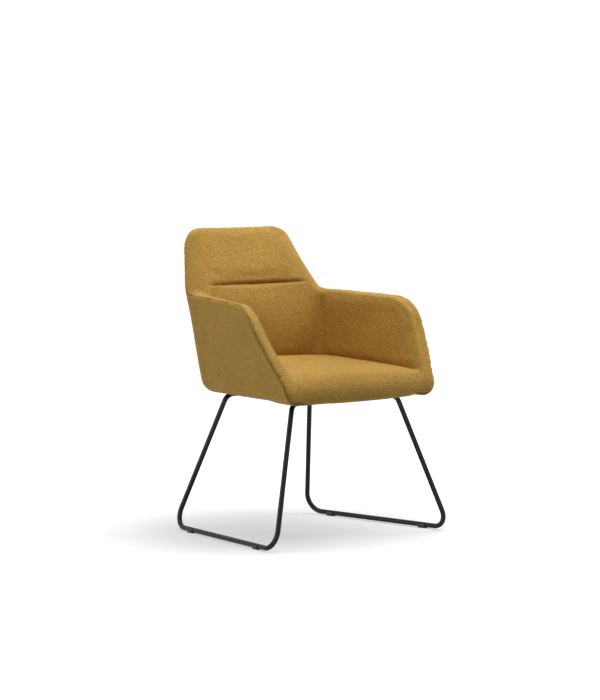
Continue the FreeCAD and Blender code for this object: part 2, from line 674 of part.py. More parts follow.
lining_box = box("lining_box", Vec(-WIDE, LIP_BACK + PLAY, LINING_BOTTOM),
                 Vec(WIDE, WIDE, SHELL_BOTTOM - PLAY / 2))
keep("seat_lining", cut("lining", common("lining_sheet", cushion_side, lining_box),
                        bores("lining_holes", size("screw_diameter") + 2 * PLAY,
                              LINING_BOTTOM - PLAY, SHELL_BOTTOM)))


# Outer cover, in three panels sewn behind the rear corners

def seam_slab(name, side, gap):
    """Side of a rear seam that faces the arm, from the seam's foot to the kink between arm and back."""
    foot = Vec(side * size("rear_seam_width") / 2, 0, TUB_BOTTOM)
    kink = Vec(side * BACK_FOOT, 0, height("arm_height"))
    along = kink - foot
    normal = Vec(side * along.z, 0, -side * along.x).normalize()
    return slab(name, foot + normal * gap, normal)


cover_skin = common("cover_skin", cut("cover_wall", outer_face, cover_inner), seam)
cover_ring = cut("cover_ring", cover_skin, cavity)
keep_both("outer_cover", common("cover_left", cover_ring, seam_slab("seam_side", 1, PLAY / 2)))
keep("outer_cover_back", cut("cover_back", cover_ring, fuse(
    "seam_sides", seam_slab("seam_back_left", 1, -PLAY / 2), seam_slab("seam_back_right", -1, -PLAY / 2))))


# Padding between the shell and the inner face

def fold_slab(name, side, gap):
    """Space behind the fold between an arm and the back."""
    points = []
    for level in (TUB_BOTTOM, height("arm_level")):
        half, toe, rear, corner = plan_values(INNER, level)
        centre, touch = rear_corner(half, toe, rear, corner, size("back_bow"))
        points.append(Vec(side * centre.x, centre.y, level))
    angle = math.radians(size("fold_angle"))
    outward = Vec(side * math.cos(angle), math.sin(angle), 0)
    normal = (points[1] - points[0]).cross(outward).normalize()
    if normal.y < 0:
        normal = normal * -1
    return slab(name, points[0] + normal * gap, normal)


cover_rim = cut("cover_rim", outer_face, outline("rim_outline", size("seam_depth") - PLAY))
wall = common("padded_wall", cut("padded_skin", fuse("shell_and_rim", shell_outer, cover_rim), cavity), full)
pocket = common("shell_pocket", cut("pocket_skin", shell_outer, pad_outer), pocket_outline)
padding = cut("padding", wall, pocket)
behind_folds = common("behind_folds", fold_slab("fold_left", 1, PLAY / 2),
                      fold_slab("fold_right", -1, PLAY / 2))
arm = cut("arm", common("arm_half", padding, slab("left_half", Vec(0, 0, 0), Vec(1, 0, 0))),
          fold_slab("behind_arm", 1, -PLAY / 2))
keep_both("arm_pad", common("pad_left", arm, arm_pad_outline))
keep_both("arm_band", cut("band_left", arm, arm_inside))


def tuck():
    """Disc with a sharp rim that reaches into the back's face and fades out to both sides."""
    half, toe, rear, corner = plan_values(INNER, height("tuck_height"))
    centre, touch = rear_corner(half, toe, rear, corner, size("back_bow"))
    over = size("tuck_half_length") - centre.x
    side_depth = centre.y + math.sqrt(corner ** 2 - over ** 2)
    middle_depth = rear + size("tuck_depth")
    rise = middle_depth - side_depth
    radius = (size("tuck_half_length") ** 2 + rise ** 2) / (2 * rise)
    peak = radius * math.tan(math.radians(size("tuck_angle")))
    rim = Vec(0, middle_depth - radius, height("tuck_height"))
    upper = Part.makeCone(radius, 0, peak, rim, Vec(0, 0, 1))
    lower = Part.makeCone(radius, 0, peak, rim, Vec(0, 0, -1))
    return upper.fuse(lower)


tuck_disc = feature("tuck_disc", tuck())
back_padding = cut("back_padding", common("padding_behind", padding, behind_folds), tuck_disc)
keep("back_cushion", common("cushion_back", back_padding,
                            slab("below_tuck", Vec(0, 0, height("tuck_height") - PLAY / 2), Vec(0, 0, -1))))
keep("head_cushion", common("cushion_head", back_padding,
                            slab("above_tuck", Vec(0, 0, height("tuck_height") + PLAY / 2), Vec(0, 0, 1))))


# Seat cushion with its front roll

def cushion_section(name, x, drop):
    """Side outline of the seat cushion; its top is lower by the drop, its lip higher by a share of it."""
    rise = math.tan(math.radians(size("arm_rise")))
    lean = math.tan(math.radians(size("arm_front_angle")))
    front = -size("seat_front")
    arm_corner_z = height("arm_height") - rise * size("arm_front")
    lip = TUB_BOTTOM - size("lip_drop") + size("seat_side_drop") * drop / size("seat_crown")
    bottom = FLOOR_TOP + PLAY
    edge_z = height("seat_edge_height") + size("seat_crown") - drop
    edge_y = -size("arm_front") - lean * (arm_corner_z - edge_z)
    lower_z = arm_corner_z - (-size("arm_front") - front) / lean
    rear_y = size("arm_rear")
    rear_z = height("seat_rear_height") + size("seat_crown") - drop
    middle_y = (size("bottom_rear") - size("seat_rear_padding")) / 3
    middle_z = (edge_z + rear_z) / 2 + size("seat_crown")
    points = [(rear_y, rear_z - MARGIN), (rear_y, bottom), (LIP_BACK, bottom), (LIP_BACK, lip), (front, lip),
              (front, lower_z), (edge_y, edge_z), (middle_y, middle_z), (rear_y, rear_z),
              (rear_y, rear_z - MARGIN)]
    radii = [size("hidden_round"), size("seat_under_round"), size("lip_round"), size("lip_round"),
             size("front_belly"), size("front_roll"), size("seat_top_round"), size("seat_rear_round")]
    return feature(name, rounded_path([Vec(x, y, z) for y, z in points], radii))


SIDE = size("arm_half_width")
cushion_block = doc.addObject("Part::Loft", "cushion_block")
cushion_block.Sections = [cushion_section("cushion_right", -SIDE, size("seat_crown")),
                          cushion_section("cushion_middle", 0, 0),
                          cushion_section("cushion_left", SIDE, size("seat_crown"))]
cushion_block.Solid = True
cushion_block.Ruled = False
keep("seat_cushion", cut("cushion", common("cushion_whole", cushion_block, cushion_side),
                         bores("flange_room", size("insert_flange") + 2 * PLAY, FLOOR_TOP,
                               FLOOR_TOP + size("flange_thickness") + PLAY)))

doc.recompute()
for thing in doc.Objects:
    if "Invalid" in thing.State or "Error" in thing.State:
        raise RuntimeError("%s could not be made" % thing.Label)
os.makedirs("parts", exist_ok=True)
for name, thing in nodes.items():
    shape = thing.Shape
    if shape.isNull() or not shape.isValid() or not shape.Solids:
        raise RuntimeError("%s has no valid shape" % name)
    shape.exportStep("parts/%s.step" % name)
    extent = shape.optimalBoundingBox()
    print("%-22s %d solid(s) %9.1f cm3  x %7.1f %7.1f  y %7.1f %7.1f  z %6.1f %6.1f" % (
        name, len(shape.Solids), shape.Volume / 1000, extent.XMin, extent.XMax, extent.YMin, extent.YMax,
        extent.ZMin, extent.ZMax))
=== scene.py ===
# %% [markdown]
# A visitor chair: a padded bucket seat in ochre wool cloth, on a sled base of bent black rod. The frame
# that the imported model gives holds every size. This script loads it, keeps the metal parts as they are
# and gives them a finish, and builds the upholstery anew as soft pieces that stand where the solids are.

import bmesh
import bpy
import math
import numpy as np
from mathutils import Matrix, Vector
from mathutils.bvhtree import BVHTree
from mathutils.kdtree import KDTree


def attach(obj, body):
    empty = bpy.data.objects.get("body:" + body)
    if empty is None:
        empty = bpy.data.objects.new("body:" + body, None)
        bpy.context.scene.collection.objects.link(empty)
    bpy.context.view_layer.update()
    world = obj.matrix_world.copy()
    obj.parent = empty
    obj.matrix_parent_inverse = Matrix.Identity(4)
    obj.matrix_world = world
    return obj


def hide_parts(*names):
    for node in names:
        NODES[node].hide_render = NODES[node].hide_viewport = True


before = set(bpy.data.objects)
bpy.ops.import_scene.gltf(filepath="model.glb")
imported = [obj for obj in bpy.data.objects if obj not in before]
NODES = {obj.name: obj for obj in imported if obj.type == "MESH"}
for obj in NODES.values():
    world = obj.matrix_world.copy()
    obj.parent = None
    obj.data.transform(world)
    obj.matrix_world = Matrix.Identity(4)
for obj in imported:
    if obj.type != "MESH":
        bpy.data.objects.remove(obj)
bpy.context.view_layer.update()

# %% [markdown]
# The camera stands where the photographer stood: in front of the chair and to the sitter's right, a
# little above the seat, with a long lens. It could be turned by eye until the picture fits. Here its place
# was solved from the sled base, whose two sides are alike, so that any difference that is left belongs to
# a form. It comes first, so that every later step can be looked at.

# %% Camera
CAMERA_PLACE = Vector((-4.609, -5.4835, 1.081))
CAMERA_AZIMUTH = math.radians(-40.13)
CAMERA_ELEVATION = math.radians(4.61)
LENS = 133.31
SENSOR_WIDTH = 36

camera_data = bpy.data.cameras.new("camera")
camera_data.lens = LENS
camera_data.sensor_width = SENSOR_WIDTH
camera = bpy.data.objects.new("camera", camera_data)
bpy.context.scene.collection.objects.link(camera)
back = Vector((
    math.sin(CAMERA_AZIMUTH) * math.cos(CAMERA_ELEVATION),
    -math.cos(CAMERA_AZIMUTH) * math.cos(CAMERA_ELEVATION),
    math.sin(CAMERA_ELEVATION)))
camera.location = CAMERA_PLACE
camera.rotation_mode = "QUATERNION"
camera.rotation_quaternion = (-back).to_track_quat("-Z", "Y")
bpy.context.scene.camera = camera
print("camera at", tuple(round(v, 2) for v in camera.location))

# %% [markdown]
# The light is that of a white studio: a faint even surround, one large soft lamp overhead, one high on
# the sitter's left and a weaker, lower one behind the sitter's right. A sky picture could light it too, but
# three square lamps are easier to weigh against each other, and each can be read off the chair's shades.

# %% Surround and lamps
bpy.context.scene.view_settings.view_transform = "Standard"
SURROUND = 0.08
LAMPS = {
    "overhead": {"place": (0.1, -0.3, 3.2), "aim": (0, 0, 0.4), "width": 2.4, "power": 65},
    "sitters_left": {"place": (2.4, -0.8, 2.6), "aim": (0, 0, 0.5), "width": 2.0, "power": 47},
    "sitters_right": {"place": (-3.0, 1.1, 1.0), "aim": (0, 0, 0.5), "width": 1.8, "power": 26},
}


def link(tree, source, target):
    """Joins an output of a shader node to an input."""
    tree.links.new(source, target)


def camera_or_mirror(tree):
    """1 for rays from the camera and for those that metal or glass sends on."""
    path = tree.nodes.new("ShaderNodeLightPath")
    total = None
    for name in ("Is Camera Ray", "Is Glossy Ray", "Is Transmission Ray"):
        if total is None:
            total = path.outputs[name]
            continue
        highest = tree.nodes.new("ShaderNodeMath")
        highest.operation = "MAXIMUM"
        link(tree, total, highest.inputs[0])
        link(tree, path.outputs[name], highest.inputs[1])
        total = highest.outputs[0]
    return total


def make_surround():
    """White world that lights the chair faintly and shows white to the camera and to metal."""
    world = bpy.data.worlds.new("studio")
    world.use_nodes = True
    tree = world.node_tree
    background = tree.nodes["Background"]
    strength = tree.nodes.new("ShaderNodeMapRange")
    link(tree, camera_or_mirror(tree), strength.inputs["Value"])
    strength.inputs["To Min"].default_value = SURROUND
    strength.inputs["To Max"].default_value = 1.0
    link(tree, strength.outputs[0], background.inputs["Strength"])
    background.inputs["Color"].default_value = (1, 1, 1, 1)
    bpy.context.scene.world = world


def soft_lamp(name, place, aim, width, power):
    """Square lamp of the given width, turned to shine at the aim."""
    data = bpy.data.lights.new(name, "AREA")
    data.shape = "SQUARE"
    data.size = width
    data.energy = power
    lamp = bpy.data.objects.new(name, data)
    lamp.location = place
    lamp.rotation_mode = "QUATERNION"
    lamp.rotation_quaternion = (Vector(aim) - Vector(place)).to_track_quat("-Z", "Y")
    bpy.context.scene.collection.objects.link(lamp)


make_surround()
for lamp_name, lamp_values in LAMPS.items():
    soft_lamp(lamp_name, **lamp_values)
print("lamps", {name: values["power"] for name, values in LAMPS.items()}, "W, surround", SURROUND)

# %% [markdown]
# The floor is white to the camera but keeps the chair's soft shadow. A shadow catcher would do that in a
# picture that is laid over another. Here the floor's own emission, seen by the camera and by reflections
# only, lifts it to white where no shadow falls. It grows away from the chair, where the lamps' light
# thins out, and lights nothing else.

# %% Floor
FLOOR_HALF = 30
FLOOR_WHITE = 0.6
FLOOR_ROUGHNESS = 0.9
NEAR_GLOW = 0.475
FAR_GLOW = 1.0
GLOW_STARTS, GLOW_FULL = 0.35, 1.0


def make_floor():
    """Wide white ground whose own glow grows with the distance from the chair."""
    bm = bmesh.new()
    bmesh.ops.create_grid(bm, x_segments=1, y_segments=1, size=FLOOR_HALF)
    mesh = bpy.data.meshes.new("floor")
    bm.to_mesh(mesh)
    bm.free()
    floor = bpy.data.objects.new("floor", mesh)
    bpy.context.scene.collection.objects.link(floor)
    material = bpy.data.materials.new("studio_floor")
    material.use_nodes = True
    tree = material.node_tree
    shader = tree.nodes["Principled BSDF"]
    shader.inputs["Base Color"].default_value = (FLOOR_WHITE, FLOOR_WHITE, FLOOR_WHITE, 1)
    shader.inputs["Roughness"].default_value = FLOOR_ROUGHNESS
    shader.inputs["Specular IOR Level"].default_value = 0.0
    shader.inputs["Emission Color"].default_value = (1, 1, 1, 1)
    place = tree.nodes.new("ShaderNodeTexCoord").outputs["Object"]
    away = tree.nodes.new("ShaderNodeVectorMath")
    away.operation = "LENGTH"
    link(tree, place, away.inputs[0])
    reach = tree.nodes.new("ShaderNodeMapRange")
    link(tree, away.outputs["Value"], reach.inputs["Value"])
    for title, value in (("From Min", GLOW_STARTS), ("From Max", GLOW_FULL),
                         ("To Min", NEAR_GLOW), ("To Max", FAR_GLOW)):
        reach.inputs[title].default_value = value
    glow = tree.nodes.new("ShaderNodeMath")
    glow.operation = "MULTIPLY"
    link(tree, camera_or_mirror(tree), glow.inputs[0])
    link(tree, reach.outputs[0], glow.inputs[1])
    link(tree, glow.outputs[0], shader.inputs["Emission Strength"])
    mesh.materials.append(material)


make_floor()
print("floor glows", NEAR_GLOW, "within", GLOW_STARTS, "m and", FAR_GLOW, "past", GLOW_FULL, "m")

# %% [markdown]
# Every finish is a handful of shader nodes. They could be placed and linked one by one, which hides the
# recipe behind many lines, so each kind of node gets a helper first: it takes what goes in and gives
# what comes out.

# %% Shader helpers


def new_group(name, inputs, outputs):
    """Empty shader group with named float, colour or vector sockets."""
    group = bpy.data.node_groups.new(name, "ShaderNodeTree")
    for title, kind, value in inputs:
        socket = group.interface.new_socket(title, in_out="INPUT", socket_type="NodeSocket" + kind)
        socket.default_value = value
    for title, kind in outputs:
        group.interface.new_socket(title, in_out="OUTPUT", socket_type="NodeSocket" + kind)
    entry = group.nodes.new("NodeGroupInput")
    leave = group.nodes.new("NodeGroupOutput")
    return group, entry, leave


def math_node(tree, operation, first, second=None):
    """A Math node whose inputs are sockets or plain numbers; gives its output."""
    node = tree.nodes.new("ShaderNodeMath")
    node.operation = operation
    for place, value in enumerate((first, second)):
        if value is None:
            continue
        if isinstance(value, (int, float)):
            node.inputs[place].default_value = value
        else:
            link(tree, value, node.inputs[place])
    return node.outputs[0]


def noise(tree, vector, scale, detail=2.0, roughness=0.5):
    """Cloudy noise around 0.5, with scale spots to the metre where the coordinates aren't stretched."""
    node = tree.nodes.new("ShaderNodeTexNoise")
    node.inputs["Scale"].default_value = scale
    node.inputs["Detail"].default_value = detail
    node.inputs["Roughness"].default_value = roughness
    link(tree, vector, node.inputs["Vector"])
    return node.outputs["Fac"]


def stretched(tree, vector, scale):
    """The coordinates, scaled along each axis."""
    node = tree.nodes.new("ShaderNodeMapping")
    node.inputs["Scale"].default_value = scale
    link(tree, vector, node.inputs["Vector"])
    return node.outputs["Vector"]


def ramp(tree, value, low, high):
    """The value, stretched so that low gives 0 and high gives 1."""
    node = tree.nodes.new("ShaderNodeMapRange")
    link(tree, value, node.inputs["Value"])
    node.inputs["From Min"].default_value = low
    node.inputs["From Max"].default_value = high
    return node.outputs[0]


def blend_colour(tree, factor, first, second):
    """The first colour where factor is 0 and the second where it is 1."""
    node = tree.nodes.new("ShaderNodeMix")
    node.data_type = "RGBA"
    link(tree, factor, node.inputs["Factor"])
    for socket, value in ((node.inputs[6], first), (node.inputs[7], second)):
        if isinstance(value, tuple):
            socket.default_value = (*value, 1)
        else:
            link(tree, value, socket)
    return node.outputs[2]


def summed(tree, values):
    """The sum of several sockets."""
    total = values[0]
    for value in values[1:]:
        total = math_node(tree, "ADD", total, value)
    return total


def bump(tree, height, distance, strength=1.0):
    """Normals of a surface that stands up by distance where the height is 1."""
    node = tree.nodes.new("ShaderNodeBump")
    node.inputs["Distance"].default_value = distance
    node.inputs["Strength"].default_value = strength
    link(tree, height, node.inputs["Height"])
    return node.outputs["Normal"]


print("shader helpers ready")

# %% [markdown]
# The cloth is a wool weave in ochre yarns, flecked where light and dark fibres mix. A picture of cloth laid
# on by a UV map would need seams cut and unwrapped for each panel. Noise on Object coordinates needs none
# and stays sharp at any size. Threads and the thicker slubs are noise stretched along x, y or z, and each
# is shown where the surface runs along its axis, so that flat faces get two crossing directions. One
# group makes the flecks, the threads, the slow random change of shade across a piece, and a painted shade
# in the hollows between the threads.

# %% Cloth colours and weave
OCHRE = (0.56, 0.324, 0.060)
OCHRE_LIGHT = (0.82, 0.53, 0.15)
# The dark yarn colour is also the colour of the painted shade in the weave's hollows.
OCHRE_DARK = (0.30, 0.16, 0.030)
THREADS_PER_METRE = 900.0
THREAD_STRETCH = 0.08
SLUBS_ALONG, SLUBS_ACROSS = 100.0, 450.0
FIBRES_PER_METRE = 300.0
SHADES_PER_METRE = 9.0
FACING_POWER = 1.5
WEAVE_RANGE = (0.35, 0.65)
SHADE_RANGE = (0.35, 0.7)
LIGHT_FLECK_RANGE = (0.505, 0.60)
DARK_FLECK_RANGE = (0.490, 0.40)
FIBRE_SHARE, SLUB_SHARE = 0.25, 0.75
FLECK = 0.58
SHADE_DEPTH = 0.28
# How strongly the painted shade darkens the hollows between the threads.
HOLLOW_SHADE_DEPTH = 0.22
THREAD_RELIEF, FLECK_RELIEF = 0.4, 0.6


def by_axis(own, along, across):
    """Scales of x, y and z: one for the own axis, another for the other two."""
    return tuple(along if axis == own else across for axis in range(3))


def surface_shares(group):
    """How far the surface runs along x, y and z: 0 where it faces an axis, 1 where it lies along it."""
    facing = group.nodes.new("ShaderNodeNewGeometry").outputs["Normal"]
    split = group.nodes.new("ShaderNodeSeparateXYZ")
    link(group, facing, split.inputs[0])
    flat = [math_node(group, "SUBTRACT", 1.0, math_node(group, "ABSOLUTE", socket))
            for socket in split.outputs]
    return [math_node(group, "POWER", share, FACING_POWER) for share in flat]


def laid(group, strands, shares):
    """Strands along x, y and z, each where the surface runs along its axis."""
    parts = [math_node(group, "MULTIPLY", strand, share) for strand, share in zip(strands, shares)]
    return math_node(group, "DIVIDE", summed(group, parts), summed(group, shares))


def cloth_group():
    """Colour and height of the flecked weave, with painted shade in the hollows between its threads."""
    group, entry, leave = new_group(
        "wool_weave",
        [("Yarn", "Color", (*OCHRE, 1)), ("Light Yarn", "Color", (*OCHRE_LIGHT, 1)),
         ("Dark Yarn And Shade", "Color", (*OCHRE_DARK, 1)), ("Fleck", "Float", FLECK)],
        [("Color", "Color"), ("Height", "Float")])
    yarn, dark_yarn_and_shade, fleck = entry.outputs["Yarn"], entry.outputs["Dark Yarn And Shade"], entry.outputs["Fleck"]
    place = group.nodes.new("ShaderNodeTexCoord").outputs["Object"]
    shares = surface_shares(group)
    threads, slubs = [], []
    for axis in range(3):
        thin = stretched(group, place, by_axis(axis, THREAD_STRETCH, 1.0))
        threads.append(noise(group, thin, THREADS_PER_METRE, detail=1.0))
        thick = stretched(group, place, by_axis(axis, SLUBS_ALONG, SLUBS_ACROSS))
        slubs.append(noise(group, thick, 1.0, roughness=0.6))
    weave = ramp(group, laid(group, threads, shares), *WEAVE_RANGE)
    fibres = noise(group, place, FIBRES_PER_METRE, detail=3.0, roughness=0.65)
    mixed = math_node(group, "ADD", math_node(group, "MULTIPLY", fibres, FIBRE_SHARE),
                      math_node(group, "MULTIPLY", laid(group, slubs, shares), SLUB_SHARE))
    light = math_node(group, "MULTIPLY", ramp(group, mixed, *LIGHT_FLECK_RANGE), fleck)
    dark = math_node(group, "MULTIPLY", ramp(group, mixed, *DARK_FLECK_RANGE), fleck)
    shade = noise(group, place, SHADES_PER_METRE, detail=3.0, roughness=0.55)
    slow = math_node(group, "MULTIPLY", ramp(group, shade, *SHADE_RANGE), SHADE_DEPTH)
    # Painted shade: where the threads are low, the colour is darkened towards the dark yarn.
    painted_hollow_shade = math_node(group, "MULTIPLY", math_node(group, "SUBTRACT", 1.0, weave), HOLLOW_SHADE_DEPTH)
    colour = blend_colour(group, light, yarn, entry.outputs["Light Yarn"])
    for darkening in (dark, slow, painted_hollow_shade):
        colour = blend_colour(group, darkening, colour, dark_yarn_and_shade)
    link(group, colour, leave.inputs["Color"])
    relief = math_node(group, "ADD", math_node(group, "MULTIPLY", weave, THREAD_RELIEF),
                       math_node(group, "MULTIPLY", mixed, FLECK_RELIEF))
    link(group, relief, leave.inputs["Height"])
    return group


CLOTH_GROUP = cloth_group()
print("weave group with", len(CLOTH_GROUP.nodes), "nodes")

# %% [markdown]
# Wool scatters light from loose fibres, so that it pales where it is seen at a low angle. A plain rough
# surface lacks that and looks like clay. The shader's sheen gives it, kept weak because the cloth is flat
# woven and not brushed, and the weave's height roughens the surface by well under a millimetre.

# %% Wool material
WEAVE_HEIGHT = 0.0007
WEAVE_STRENGTH = 0.9
WOOL_SURFACE = {
    "Roughness": 0.92,
    "Specular IOR Level": 0.25,
    "Sheen Weight": 0.25,
    "Sheen Roughness": 0.45,
    "Sheen Tint": (0.95, 0.80, 0.50, 1),
}


def wool(name):
    """Material of the weave's colour and height over a rough, faintly sheeny surface."""
    material = bpy.data.materials.new(name)
    material.use_nodes = True
    tree = material.node_tree
    shader = tree.nodes["Principled BSDF"]
    weave = tree.nodes.new("ShaderNodeGroup")
    weave.node_tree = CLOTH_GROUP
    link(tree, weave.outputs["Color"], shader.inputs["Base Color"])
    link(tree, bump(tree, weave.outputs["Height"], WEAVE_HEIGHT, WEAVE_STRENGTH), shader.inputs["Normal"])
    for title, value in WOOL_SURFACE.items():
        shader.inputs[title].default_value = value
    return material


OCHRE_WOOL = wool("ochre_wool")
print("made", OCHRE_WOOL.name)

# %% [markdown]
# The rod is powder coated: a black satin skin, thick enough to round every edge, with the faint orange
# peel of the melted powder. The nylon glides, the moulded shell and the lining under the seat are blacks of
# other kinds, and the hidden screws are zinc plated. One flat colour would make them all look like paper,
# so each varies a little in colour, roughness and surface. They are all one recipe with other values.

# %% Metal, nylon and lining finishes
GRAINS_TO_A_SPOT = 30
SPOT_RANGE = (0.3, 0.7)
SPOT_LIFT = 1.25
ROUGHNESS_SPREAD = 0.08


def plain_finish(name, colour, roughness, grain, metallic=0.0, depth=0.00004, specular=0.5):
    """One colour with fine grain on its surface and wide spots in its shade and roughness."""
    material = bpy.data.materials.new(name)
    material.use_nodes = True
    tree = material.node_tree
    shader = tree.nodes["Principled BSDF"]
    place = tree.nodes.new("ShaderNodeTexCoord").outputs["Object"]
    fine = noise(tree, place, grain)
    slow = noise(tree, place, grain / GRAINS_TO_A_SPOT)
    tint = blend_colour(tree, ramp(tree, slow, *SPOT_RANGE), colour, tuple(c * SPOT_LIFT for c in colour))
    link(tree, tint, shader.inputs["Base Color"])
    rough = tree.nodes.new("ShaderNodeMapRange")
    link(tree, slow, rough.inputs["Value"])
    rough.inputs["To Min"].default_value = roughness - ROUGHNESS_SPREAD
    rough.inputs["To Max"].default_value = roughness + ROUGHNESS_SPREAD
    link(tree, rough.outputs[0], shader.inputs["Roughness"])
    link(tree, bump(tree, fine, depth), shader.inputs["Normal"])
    shader.inputs["Metallic"].default_value = metallic
    shader.inputs["Specular IOR Level"].default_value = specular
    return material


POWDER_COAT = plain_finish("black_powder_coat", (0.009, 0.009, 0.010), 0.22, 900.0, specular=0.22)
ZINC = plain_finish("zinc_plate", (0.45, 0.45, 0.46), 0.38, 600.0, metallic=1.0)
NYLON = plain_finish("black_nylon", (0.022, 0.022, 0.022), 0.55, 700.0)
LINING = plain_finish("black_lining", (0.016, 0.016, 0.016), 0.85, 1500.0, depth=0.0003)

FINISHES = {
    POWDER_COAT: ("sled_rod_left", "sled_rod_right", "mounting_rail_left", "mounting_rail_right"),
    ZINC: ("base_screws", "base_washers", "threaded_inserts"),
    NYLON: ("floor_glides", "inner_shell"),
    LINING: ("seat_lining",),
}
for material, names in FINISHES.items():
    for name in names:
        NODES[name].data.materials.clear()
        NODES[name].data.materials.append(material)
print("finished as they are:", sum(len(names) for names in FINISHES.values()), "nodes")

# %% [markdown]
# Upholstery starts as a copy of the solids it stands for. A voxel remesh turns them into one even skin of
# small quads, with the gaps between the solids closed, and smoothing rounds every edge as padding does.
# Two alternatives were left: subdividing the solid's own triangles, which lie in long slivers, and drawing
# each form by hand, which would have to repeat the frame's sizes.

# %% Copies of the solids
MERGE = 0.00002


def copied(bm, names):
    """Adds the nodes' own triangles, joined at their edges, to a bmesh."""
    for name in names:
        piece = bmesh.new()
        piece.from_mesh(NODES[name].data)
        bmesh.ops.remove_doubles(piece, verts=piece.verts, dist=MERGE)
        mesh = bpy.data.meshes.new("copy")
        piece.to_mesh(mesh)
        piece.free()
        bm.from_mesh(mesh)
        bpy.data.meshes.remove(mesh)


def object_of(name, bm):
    """A new object with the bmesh's form; the bmesh is freed."""
    mesh = bpy.data.meshes.new(name)
    bm.to_mesh(mesh)
    bm.free()
    thing = bpy.data.objects.new(name, mesh)
    bpy.context.scene.collection.objects.link(thing)
    return thing


def nearness(names, points):
    """Distance from each point to the nearest surface of the named nodes."""
    bm = bmesh.new()
    copied(bm, names)
    tree = BVHTree.FromBMesh(bm)
    found = np.array([tree.find_nearest(Vector(point))[3] for point in points])
    bm.free()
    return found


print("solids can be copied and measured")

# %% [markdown]
# The skin itself: the remesh leaves a closed shape, but a gap shut in between two solids becomes a second
# one inside it, which nobody would see and which would double the work. Only the largest stays. The
# smoothing is even, because the Smooth operator on all vertices is what rubs a voxel's steps away.

# %% Soft skin
SMOOTHING = 0.5


def remeshed(thing, voxel):
    """Replaces an object's mesh by its voxel skin."""
    modifier = thing.modifiers.new("voxels", "REMESH")
    modifier.mode = "VOXEL"
    modifier.voxel_size = voxel
    graph = bpy.context.evaluated_depsgraph_get()
    skin = bpy.data.meshes.new_from_object(thing.evaluated_get(graph))
    thing.modifiers.clear()
    old = thing.data
    thing.data = skin
    bpy.data.meshes.remove(old)
    skin.name = thing.name
    return thing


def keep_largest(bm):
    """Leaves only the island with most vertices, and gives the number that were there."""
    bm.verts.ensure_lookup_table()
    unseen = set(bm.verts)
    islands = []
    while unseen:
        start = unseen.pop()
        island = [start]
        queue = [start]
        while queue:
            vert = queue.pop()
            for edge in vert.link_edges:
                other = edge.other_vert(vert)
                if other in unseen:
                    unseen.remove(other)
                    island.append(other)
                    queue.append(other)
        islands.append(island)
    islands.sort(key=len)
    for island in islands[:-1]:
        bmesh.ops.delete(bm, geom=island, context="VERTS")
    return len(islands)


def relaxed(bm, rounds):
    """Smooths the skin evenly."""
    for _ in range(rounds):
        bmesh.ops.smooth_vert(bm, verts=bm.verts, factor=SMOOTHING,
                              use_axis_x=True, use_axis_y=True, use_axis_z=True)


def soft_skin(name, names, voxel, rounds):
    """One closed, smoothed skin around the named nodes."""
    bm = bmesh.new()
    copied(bm, names)
    thing = remeshed(object_of(name, bm), voxel)
    bm = bmesh.new()
    bm.from_mesh(thing.data)
    islands = keep_largest(bm)
    relaxed(bm, rounds)
    bm.to_mesh(thing.data)
    bm.free()
    print(name, "vertices", len(thing.data.vertices), "islands", islands)
    return thing


print("soft skins can be made")

# %% [markdown]
# A seam pulls the cover down into the foam. It could be cut into the mesh as an edge loop and beveled, but
# the seams here wander over three curved pieces. So every vertex sinks by its own distance to the seam,
# deepest on the line and hardly any a few millimetres away. All points are handled at once, as arrays.

# %% Seams pressed into a skin


def points_of(thing):
    """Places of all vertices, one row each."""
    points = np.empty(len(thing.data.vertices) * 3)
    thing.data.vertices.foreach_get("co", points)
    return points.reshape(-1, 3)


def normals_of(thing):
    """Normals of all vertices, one row each."""
    normals = np.empty(len(thing.data.vertices) * 3)
    thing.data.vertices.foreach_get("normal", normals)
    return normals.reshape(-1, 3)


def set_points(thing, points):
    """Moves all vertices to these places."""
    thing.data.vertices.foreach_set("co", points.astype(np.float32).ravel())
    thing.data.update()


def fade(values, start, end):
    """0 at start and before it, 1 at end and past it, smooth between. Start may be the larger one."""
    share = np.clip((values - start) / (end - start), 0, 1)
    return share * share * (3 - 2 * share)


def close_to(distance, width):
    """1 on a line, and less and less over the width beside it."""
    return np.exp(-(distance / width) ** 2)


def creased(thing, distance, depth, width, strength=1.0):
    """Sinks the skin near a seam; distance holds each vertex's own to the seam."""
    sink = depth * close_to(distance, width) * strength
    set_points(thing, points_of(thing) - normals_of(thing) * sink[:, None])


def swollen(thing, rise):
    """Lets the skin stand out evenly, as a filled cover does."""
    set_points(thing, points_of(thing) + normals_of(thing) * rise)


def settled(thing, near, rounds):
    """Smooths only where near is above 0, the more the nearer it is to 1."""
    mesh = thing.data
    edges = np.empty(len(mesh.edges) * 2, dtype=np.int64)
    mesh.edges.foreach_get("vertices", edges)
    first, second = edges.reshape(-1, 2).T
    points = points_of(thing)
    count = np.bincount(np.concatenate((first, second)), minlength=len(points))[:, None]
    for _ in range(rounds):
        total = np.zeros_like(points)
        np.add.at(total, first, points[second])
        np.add.at(total, second, points[first])
        points += (total / count - points) * SMOOTHING * near[:, None]
    set_points(thing, points)


def finished(thing, material, slot, fill, *names):
    """Shades the padded piece smooth, gives it its material, hangs it from the root and hides the nodes it
    stands for.
    """
    for polygon in thing.data.polygons:
        polygon.use_smooth = True
    thing.data.materials.clear()
    thing.data.materials.append(material)
    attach(thing, "root")
    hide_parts(*names)


print("seams can be pressed")

# %% [markdown]
# Foam pushes its cover out between the seams. A rounder form could be modelled by hand, but how far a cover
# bulges depends on how far away its seams are, and Blender's cloth works that out: with a pressure inside
# and the seams held still, a coarse skin swells for a few frames. Its movement is capped, and the fine skin
# takes it over. Gravity is off, since foam carries its own cover.

